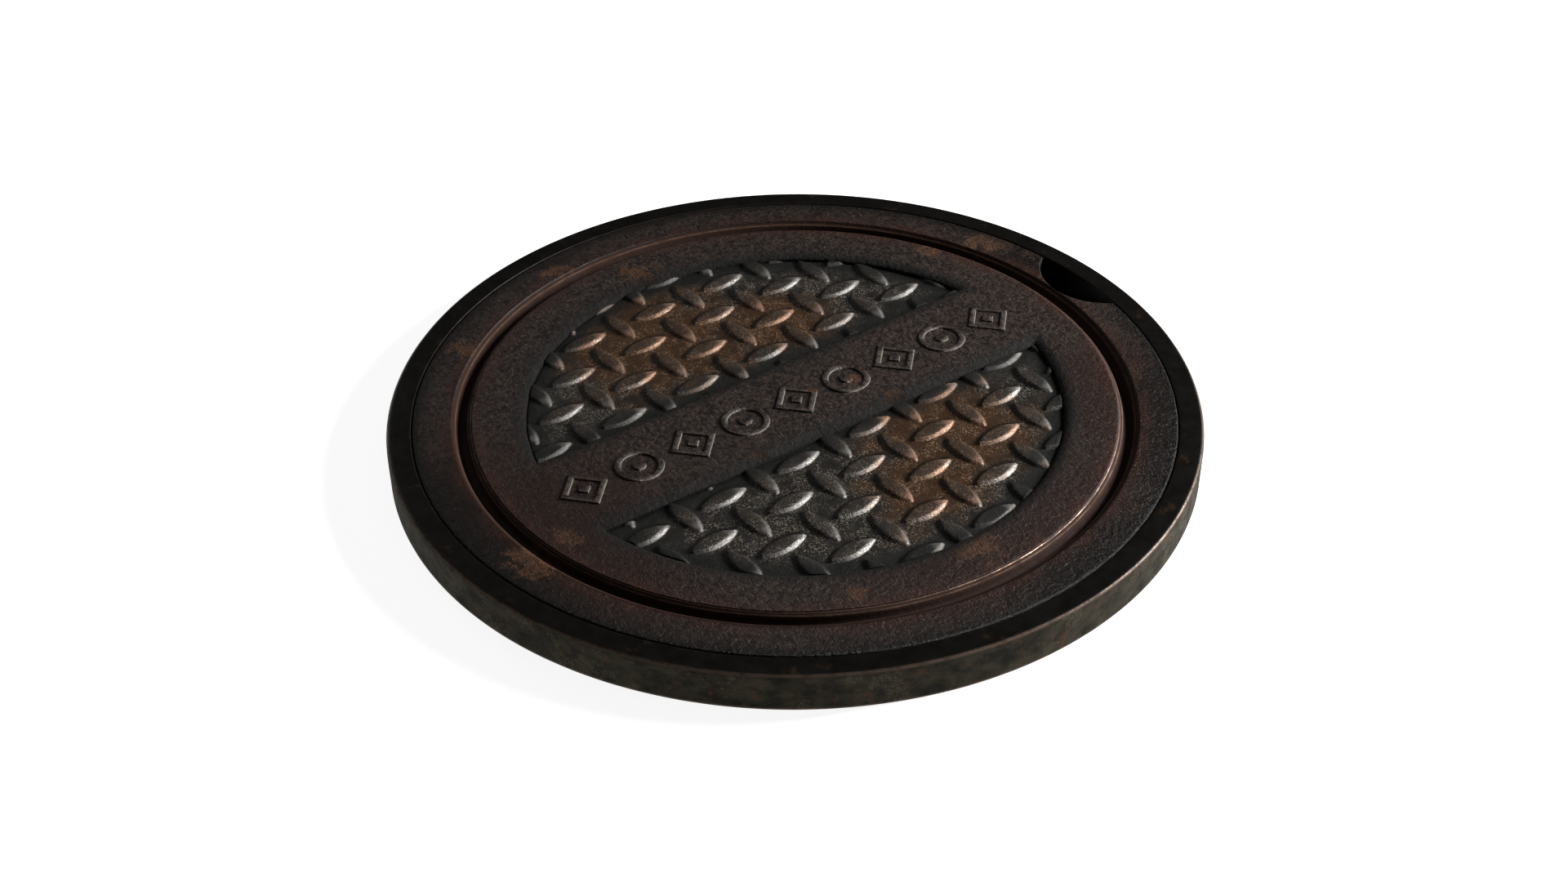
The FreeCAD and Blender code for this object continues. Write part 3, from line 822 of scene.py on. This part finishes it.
def cover_iron():
    shader = Shader("cast_iron_skin")
    r = shader.radius()
    _, y, z = shader.axes()
    # 1 on the underside: added to a distance in metres, it keeps the top's marks off it.
    under = shader.step(z, (POCKET_FLOOR - 6.0) * MM, (POCKET_FLOOR - 2.0) * MM, 1.0, 0.0)
    height, hairs, pebbles = cast_grain(shader)
    patches = shader.noise(70.0, 5.0, 0.6)
    mottle = shader.noise(9.0, 6.0, 0.65)
    shader.colour = shader.blend(patches, IRON_DARK, IRON_LIGHT)
    shader.coat(shader.step(mottle, 0.42, 0.72, 0.0, 0.7), IRON_MOTTLE)
    shader.coat(shader.step(hairs, 0.61, 0.74, 0.0, 0.85), IRON_HAIRS)
    shader.coat(shader.step(pebbles, 0.37, 0.56, 0.85, 0.0), IRON_HOLLOWS)
    ruddy = shader.plus(shader.near(RUDDY_SPOTS), shader.times(shader.noise(34.0, 4.0), 0.5))
    shader.coat(shader.step(ruddy, 0.2, 1.0, 0.0, 0.80), IRON_RUDDY)
    shader.coat(shader.flecks(1.2, 0.02), IRON_FLECKS)
    # Worn ornament edges, lightened as a painted highlight on the lit side.
    shader.coat(shader.times(shader.attribute("worn"), 0.9), IRON_WORN_AND_HIGHLIGHT)
    beyond_groove = shader.step(r, (GROOVE_OUTER_R + 1) * MM, (GROOVE_OUTER_R + 5) * MM)
    beyond_groove = shader.times(beyond_groove, shader.inverse(under))
    # Dark oily stains on the ring beyond the groove, and painted shade on its -X side.
    clouds = shader.minus(shader.noise(19.0, 7.0, 0.68), 0.5)
    oily_and_shade = shader.plus(shader.near(OILY_AND_SHADE_SPOTS), shader.times(clouds, 2.6))
    oily_and_shade = shader.times(shader.step(oily_and_shade, 0.0, 0.70, 0.20, 0.90), beyond_groove)
    shader.coat(oily_and_shade, IRON_OILY_AND_SHADE)

    half = GROOVE_HALF_WIDTH
    off_middle = shader.math("ABSOLUTE", shader.minus(r, GROOVE_MIDDLE_R * MM))
    off_middle = shader.plus(off_middle, under)
    stained = shader.step(off_middle, half * MM, (half + 18.0) * MM, 0.75, 0.0)
    stained = shader.times(stained, shader.step(shader.noise(26.0, 5.0, 0.6), 0.30, 0.65))
    shader.coat(stained, GROOVE_BORDER)
    in_groove = shader.step(off_middle, (half - 0.1) * MM, (half + 1.3) * MM, 1.0, 0.0)
    shader.coat(in_groove, GROOVE_WALL)
    deep = shader.step(off_middle, (half - 3.6) * MM, (half - 2.2) * MM, 1.0, 0.0)
    shader.coat(deep, GROOVE_FLOOR)
    lip = shader.step(off_middle, (half + 0.05) * MM, (half + 0.35) * MM)
    lip = shader.times(lip, shader.step(off_middle, (half + 0.6) * MM, (half + 1.1) * MM, 1.0, 0.0))
    ledge = shader.step(off_middle, (half - 2.4) * MM, (half - 2.1) * MM)
    inner_half = shader.math("LESS_THAN", r, GROOVE_MIDDLE_R * MM)
    ledge = shader.times(ledge, shader.step(off_middle, (half - 1.7) * MM, (half - 1.3) * MM, 0.4, 0.0))
    ledge = shader.times(ledge, shader.step(inner_half, 0.0, 1.0, 0.7, 1.0))
    lip = shader.times(lip, shader.step(inner_half, 0.0, 1.0, 0.25, 1.0))
    bare = shader.larger(lip, ledge)
    bare = shader.times(bare, shader.step(shader.noise(20.0, 5.0, 0.65), 0.34, 0.62, 0.3, 1.0))
    shader.coat(bare, BARE_LIP)
    outer_lip = shader.step(off_middle, (half - 0.6) * MM, (half + 0.4) * MM)
    fading = shader.step(off_middle, (half + 1.8) * MM, (half + 5.2) * MM, 0.92, 0.0)
    outer_lip = shader.times(shader.times(outer_lip, fading), shader.inverse(inner_half))
    shader.coat(outer_lip, OUTER_LIP)

    broken = shader.ragged(15.0, 10.0, 0.78, 3.4)
    rust = shader.step(shader.plus(shader.near(RUST_SPOTS), broken), 0.55, 0.70)
    specks = shader.step(shader.noise(5.0, 6.0, 0.75), 0.68, 0.74, 0.0, 0.7)
    rust = shader.larger(rust, specks)
    ochre = shader.blend(shader.step(shader.noise(2.4, 5.0, 0.7), 0.35, 0.65), RUST_DARK, RUST_OCHRE)
    shader.coat(shader.times(rust, 0.72), ochre)

    # Painted shade, with some dirt: the sloping dish round each pocket darkens towards the pocket.
    beyond_arc = shader.minus(r, POCKET_ARC_R * MM)
    below_chord = shader.minus(POCKET_CHORD_Y * MM, shader.math("ABSOLUTE", y))
    beyond = shader.plus(shader.larger(beyond_arc, below_chord), under)
    ragged = shader.ragged(12.0, 5.0, 0.6, 0.016)
    dirt_and_shade = shader.step(shader.plus(beyond, ragged), 0.0, 21.0 * MM, 1.0, 0.0)
    shader.coat(shader.times(dirt_and_shade, 0.92), POCKET_SHADE_AND_DIRT)
    to_rim = shader.plus(shader.minus(COVER_R * MM, r), shader.times(ragged, 0.8))
    rim_dirt = shader.step(shader.plus(to_rim, under), 0.0, 17.0 * MM, 0.88, 0.0)
    shader.coat(rim_dirt, RIM_DIRT)

    roughness = shader.step(mottle, 0.3, 0.75, 0.36, 0.52)
    roughness = shader.minus(roughness, shader.times(oily_and_shade, 0.08))
    dull = shader.times(in_groove, shader.inverse(bare))
    for share, change in ((rust, 0.2), (dirt_and_shade, 0.35), (rim_dirt, 0.05), (dull, 0.4)):
        roughness = shader.plus(roughness, shader.times(share, change))
    roughness = shader.minus(roughness, shader.times(bare, 0.12), clamp=True)
    calm = shader.step(off_middle, (half + 0.6) * MM, (half + 2.4) * MM, 0.2, 1.0)
    height = shader.times(height, calm)
    shader.fix("Specular IOR Level", 0.20)
    metal = shader.larger(bare, shader.times(shader.attribute("worn"), 0.7))
    return shader.finish(roughness, metal, shader.bump(height, 1.7, 0.95))


TREAD_RUST_SPOTS = [(-45, 150, 150), (60, 120, 90), (85, -105, 130), (20, -160, 90)]
STEEL_DARK = (0.011, 0.0115, 0.010)
STEEL_LIGHT = (0.028, 0.025, 0.021)
STEEL_RUST = (0.058, 0.0265, 0.0105)
STEEL_CROWN = (0.034, 0.026, 0.021)
STEEL_SHADE_AND_DIRT = (0.0062, 0.0068, 0.0056)
# Painted shadow beside the lozenges.
STEEL_PAINTED_SHADOW = (0.003, 0.003, 0.0025)
# Each of these has a second colour for where the plate is rusted. The polished and scuffed colours also
# stand for painted highlights on the lit flanks and blunt ends.
GRIT = ((0.37, 0.31, 0.25), (0.36, 0.235, 0.145))
POLISHED_AND_HIGHLIGHT = ((0.27, 0.255, 0.24), (0.27, 0.165, 0.112))
SCUFFED_AND_HIGHLIGHT = ((0.13, 0.120, 0.108), (0.27, 0.150, 0.100))


def tread_steel():
    shader = Shader("worn_tread_steel")
    worn = shader.attribute("worn")
    crown = shader.attribute("crown")
    r = shader.radius()
    _, y, _ = shader.axes()
    # Painted shade, with some dirt: the plate darkens towards the pocket's walls, where the recess shades
    # it.
    to_arc = shader.minus(PLATE_ARC_R * MM, r)
    to_chord = shader.minus(shader.math("ABSOLUTE", y), PLATE_CHORD_Y * MM)
    to_edge = shader.math("MINIMUM", to_arc, to_chord)
    ragged = shader.ragged(14.0, 5.0, 0.6, 0.022)
    dirt_and_shade = shader.step(shader.plus(to_edge, ragged), 0.0, 27.0 * MM, 0.95, 0.0)

    mottle = shader.noise(12.0, 6.0, 0.62)
    shader.colour = shader.blend(mottle, STEEL_DARK, STEEL_LIGHT)
    film = shader.ragged(24.0, 6.0, 0.62, 1.6)
    rust = shader.step(shader.plus(shader.near(TREAD_RUST_SPOTS), film), 0.10, 0.80)
    shader.coat(shader.times(rust, 0.85), STEEL_RUST)
    shader.coat(shader.times(crown, 0.5), STEEL_CROWN)
    shader.coat(dirt_and_shade, STEEL_SHADE_AND_DIRT)
    crowded = shader.step(shader.noise(16.0, 4.0, 0.6), 0.38, 0.56)
    sparkle = shader.larger(shader.flecks(0.9, 0.38), shader.flecks(1.5, 0.16))
    sparkle = shader.times(sparkle, crowded)
    sparkle = shader.times(sparkle, shader.inverse(shader.times(crown, 0.38)))
    well_in = shader.step(shader.plus(to_edge, ragged), 6.0 * MM, 34.0 * MM)
    sparkle = shader.times(sparkle, well_in)
    shader.coat(shader.times(sparkle, 0.8), shader.blend(rust, *GRIT))
    patchy = shader.step(shader.noise(1.1, 3.0, 0.7), 0.36, 0.60, 0.30, 1.0)
    polished_and_highlight = shader.blend(rust, *POLISHED_AND_HIGHLIGHT)
    scuffed_and_highlight = shader.blend(rust, *SCUFFED_AND_HIGHLIGHT)
    # Scuffed metal lightened into a painted highlight on the blunt ends.
    tip = shader.times(shader.attribute("tip"), shader.step(patchy, 0.2, 1.0, 0.45, 1.0))
    shader.coat(shader.times(tip, 0.85), scuffed_and_highlight)
    # Worn metal lightened into a painted highlight on the lit flanks, fainter towards the pocket's walls.
    worn = shader.times(worn, patchy)
    worn = shader.times(worn, shader.inverse(shader.times(dirt_and_shade, 0.5)))
    shader.coat(worn, polished_and_highlight)
    # Painted shadow beside each lozenge, on the side away from the light.
    shader.coat(shader.times(shader.attribute("painted_shadow"), 0.85), STEEL_PAINTED_SHADOW)
    roughness = shader.step(mottle, 0.3, 0.7, 0.38, 0.50)
    roughness = shader.plus(roughness, shader.times(crown, 0.12))
    roughness = shader.plus(roughness, shader.times(dirt_and_shade, 0.2), clamp=True)
    grain = shader.plus(shader.times(shader.noise(1.2, 3.0, 0.6), 0.6), shader.noise(2.8, 4.0, 0.6))
    metal = shader.plus(shader.times(worn, 0.55), 0.35)
    shader.fix("Specular IOR Level", 0.3)
    return shader.finish(roughness, metal, shader.bump(grain, 0.9, 0.9))


# Where the frame's wall carries painted reflected light: an olive tint on its -X, +Y side.
PAINTED_REFLECTED_LIGHT_SPOTS = [(-290, 203, 330)]
BLACKING_DARK = (0.0020, 0.0019, 0.0015)
BLACKING_LIGHT = (0.0070, 0.0064, 0.0052)
BLACKING_RUST = (0.040, 0.020, 0.010)
WALL_DARK = (0.0092, 0.0077, 0.0050)
WALL_LIGHT = (0.0325, 0.0276, 0.0178)
WALL_SCURF = (0.070, 0.060, 0.041)
WALL_RUST = (0.056, 0.0285, 0.0140)
WALL_PAINTED_REFLECTED_LIGHT = (0.0260, 0.0262, 0.0152)
FRAME_WORN = (0.105, 0.074, 0.057)


def frame_iron():
    shader = Shader("blackened_frame_iron")
    r = shader.radius()
    _, _, z = shader.axes()
    mottle = shader.noise(14.0, 6.0, 0.62)
    shader.colour = shader.blend(mottle, BLACKING_DARK, BLACKING_LIGHT)
    rust = shader.step(shader.noise(22.0, 8.0, 0.7), 0.60, 0.70, 0.0, 0.5)
    # Painted shade: the bore wall and the seat inside it get little rust, so that they stay nearly black.
    in_bore = shader.step(r, (BORE_R + 0.1) * MM, (BORE_R + 0.8) * MM, 0.1, 1.0)
    shader.coat(shader.times(rust, in_bore), BLACKING_RUST)
    on_wall = shader.step(r, (FRAME_R - 1.2) * MM, (FRAME_R - 0.6) * MM)
    clouds = shader.noise(17.0, 7.0, 0.62, shader.stretched((1.0, 1.0, 1.5)))
    wall = shader.blend(shader.step(clouds, 0.32, 0.68), WALL_DARK, WALL_LIGHT)
    scurf = shader.times(shader.noise(2.2, 5.0, 0.75), shader.step(shader.noise(30.0, 3.0), 0.40, 0.62))
    wall = shader.blend(shader.step(scurf, 0.42, 0.62, 0.0, 0.7), wall, WALL_SCURF)
    wall = shader.blend(shader.step(shader.noise(11.0, 6.0, 0.7), 0.56, 0.64, 0.0, 0.7), wall, WALL_RUST)
    # Painted reflected light: an olive tint on one side of the wall.
    wall = shader.blend(shader.times(shader.near(PAINTED_REFLECTED_LIGHT_SPOTS), 0.7), wall, WALL_PAINTED_REFLECTED_LIGHT)
    shader.coat(on_wall, wall)
    chipped = shader.step(shader.noise(10.0, 7.0, 0.65), 0.30, 0.55, 0.35, 1.0)
    off_corner = shader.plus(shader.minus(r, z), (TOP - FRAME_R) * MM)
    edge = shader.math("ABSOLUTE", off_corner)
    edge = shader.step(edge, 0.3 * MM, 3.0 * MM, 1.0, 0.0)
    edge = shader.times(edge, shader.step(z, (TOP - 9.0) * MM, (TOP - 6.0) * MM))
    foot = shader.times(shader.step(z, 1.6 * MM, 2.6 * MM, 1.0, 0.0), on_wall)
    edge = shader.larger(edge, foot)
    at_bore = shader.step(r, (BORE_R + 0.3) * MM, (BORE_R + 1.1) * MM, 0.12, 0.0)
    bore_edge = shader.times(at_bore, shader.step(z, (TOP - 1.6) * MM, (TOP - 0.9) * MM))
    worn = shader.times(shader.larger(edge, bore_edge), chipped)
    shader.coat(worn, FRAME_WORN)
    roughness = shader.step(mottle, 0.3, 0.7, 0.28, 0.44)
    roughness = shader.plus(roughness, shader.times(on_wall, 0.42), clamp=True)
    normal = shader.bump(shader.noise(2.2, 5.0, 0.6), 0.35, 0.8)
    shader.fix("Specular IOR Level", 0.09)
    return shader.finish(roughness, shader.times(worn, 0.38), normal)


RUBBER_DARK = (0.0045, 0.0045, 0.0045)
RUBBER_LIGHT = (0.010, 0.0095, 0.009)
ZINC_DARK = (0.22, 0.21, 0.19)
ZINC_LIGHT = (0.42, 0.41, 0.38)
ZINC_RUST = (0.12, 0.055, 0.025)


def gasket_rubber():
    shader = Shader("cushion_rubber")
    mottle = shader.noise(6.0, 4.0, 0.6)
    shader.colour = shader.blend(mottle, RUBBER_DARK, RUBBER_LIGHT)
    shader.fix("Specular IOR Level", 0.2)
    return shader.finish(shader.step(mottle, 0.3, 0.7, 0.6, 0.8), 0.0,
                         shader.bump(shader.noise(0.8, 3.0), 0.08, 0.6))


def fastener_steel():
    shader = Shader("dull_zinc")
    mottle = shader.noise(3.0, 5.0, 0.6)
    shader.colour = shader.blend(mottle, ZINC_DARK, ZINC_LIGHT)
    rust = shader.step(shader.noise(4.0, 6.0, 0.7), 0.56, 0.68, 0.0, 0.8)
    shader.coat(rust, ZINC_RUST)
    roughness = shader.step(mottle, 0.3, 0.7, 0.35, 0.5)
    roughness = shader.plus(roughness, shader.times(rust, 0.3), clamp=True)
    return shader.finish(roughness, 0.85, shader.bump(mottle, 0.05, 0.6))


def paint(piece, material):
    piece.data.materials.clear()
    piece.data.materials.append(material)


# ---- pieces --------------------------------------------
def place(piece, body, slot, material, *nodes):
    """Gives a new piece its material and body, and hides the CAD nodes that it stands for. The slot is not
    used.
    """
    paint(piece, material)
    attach(piece, body)
    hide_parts(*nodes)


iron = cover_iron()
steel = tread_steel()
frame_finish = frame_iron()
zinc = fastener_steel()

place(make_cover(), "cover", "cover_iron", iron, "cover")
place(make_frame(), "frame", "frame_iron", frame_finish, "frame_rim")
for name, side, seed_point in (("upper", 1, UPPER_LOZENGE), ("lower", -1, LOWER_LOZENGE)):
    plate = make_tread_plate(name + "_tread", side, seed_point)
    place(plate, "cover", "tread_steel", steel, name + "_tread_plate")
    studs = make_studs(name + "_studs", side)
    place(studs, "cover", "fastener_steel", zinc, name + "_plate_studs")
    for kind in ("washers", "nuts"):
        paint(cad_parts[name + "_plate_" + kind], zinc)
paint(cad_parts["frame_seat"], frame_finish)
paint(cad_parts["seat_gasket"], gasket_rubber())


# ---- stage ---------------------------------------------
# Sizes and distances on the stage are in metres, angles in degrees, lights in watts.
FLOOR_HALF = 12.0
FLOOR_GREY = 0.6
FLOOR_GLOW = 0.88
BACKDROP_R = 11.9
BACKDROP_HEIGHT = 9.0
BACKDROP_SEGMENTS = 96
BACKDROP_GLOW = 1.0

CAMERA_AZIMUTH = -35.35
CAMERA_ELEVATION = 36.58
CAMERA_DISTANCE = 1.9246
CAMERA_AIM = (-0.0166, -0.0068, 0.0)
CAMERA_ROLL = math.radians(-0.57)
CAMERA_LENS_MM = 50.0
CAMERA_SENSOR_MM = 36.0

# Name, azimuth, elevation, distance, width, height, power.
LIGHTS = [
    ("key", CAMERA_AZIMUTH + 102, 25, 2.6, 0.6, 1.0, 150),
    ("fill", CAMERA_AZIMUTH - 140, 24, 2.8, 0.8, 1.4, 5),
    ("overhead", 0, 89, 3.0, 3.0, 3.0, 6),
]
WORLD_COLOUR = (0.95, 0.97, 1.0, 1)
WORLD_STRENGTH = 0.03


def toward(azimuth, elevation, distance):
    """Point at a distance from the origin; azimuth 0 is on the -Y side, turning to +X."""
    a, e = math.radians(azimuth), math.radians(elevation)
    return distance * Vector((math.sin(a) * math.cos(e), -math.cos(a) * math.cos(e), math.sin(e)))


def stage_piece(name, vertices, faces, grey, glow):
    """Self-lit piece of the stage, with its shader, for what else its surface needs."""
    mesh = bpy.data.meshes.new(name)
    mesh.from_pydata(vertices, [], faces)
    piece = add_to_scene(name, mesh)
    shader = Shader("pale_" + name)
    shader.fix("Base Color", (grey, grey, grey, 1))
    shader.fix("Emission Color", (1, 1, 1, 1))
    shader.fix("Emission Strength", glow)
    mesh.materials.append(shader.material)
    return piece, shader


def make_floor():
    half = FLOOR_HALF
    corners = [(-half, -half, 0), (half, -half, 0), (half, half, 0), (-half, half, 0)]
    floor, shader = stage_piece("floor", corners, [(0, 1, 2, 3)], FLOOR_GREY, FLOOR_GLOW)
    shader.fix("Roughness", 0.9)
    shader.fix("Specular IOR Level", 0.1)


def make_backdrop():
    """Pale wall round the floor that only the camera sees, so that low views have no dark edge."""
    vertices, faces = [], []
    for i in range(BACKDROP_SEGMENTS):
        a = TAU * i / BACKDROP_SEGMENTS
        vertices += [(BACKDROP_R * math.cos(a), BACKDROP_R * math.sin(a), z) for z in (0.0, BACKDROP_HEIGHT)]
        b = (i + 1) % BACKDROP_SEGMENTS
        faces.append((2 * i, 2 * i + 1, 2 * b + 1, 2 * b))
    backdrop, _ = stage_piece("backdrop", vertices, faces, 0.0, BACKDROP_GLOW)
    backdrop.visible_diffuse = False
    backdrop.visible_glossy = False
    backdrop.visible_transmission = False
    backdrop.visible_shadow = False


def soft_light(name, azimuth, elevation, distance, width, height, power):
    data = bpy.data.lights.new(name, "AREA")
    data.shape = "RECTANGLE"
    data.size = width
    data.size_y = height
    data.energy = power
    lamp = add_to_scene(name, data)
    lamp.location = toward(azimuth, elevation, distance)
    lamp.rotation_euler = (-lamp.location).to_track_quat("-Z", "Y").to_euler()


def make_camera():
    data = bpy.data.cameras.new("camera")
    data.lens = CAMERA_LENS_MM
    data.sensor_width = CAMERA_SENSOR_MM
    camera = add_to_scene("camera", data)
    camera.location = toward(CAMERA_AZIMUTH, CAMERA_ELEVATION, CAMERA_DISTANCE)
    look = (Vector(CAMERA_AIM) - camera.location).to_track_quat("-Z", "Y")
    camera.rotation_euler = (look @ Quaternion((0, 0, 1), CAMERA_ROLL)).to_euler()
    bpy.context.scene.camera = camera


def make_world():
    world = bpy.data.worlds.new("studio")
    world.use_nodes = True
    background = world.node_tree.nodes["Background"]
    background.inputs["Color"].default_value = WORLD_COLOUR
    background.inputs["Strength"].default_value = WORLD_STRENGTH
    bpy.context.scene.world = world


make_floor()
make_backdrop()
for light in LIGHTS:
    soft_light(*light)
make_world()
bpy.context.scene.view_settings.view_transform = "Standard"
make_camera()
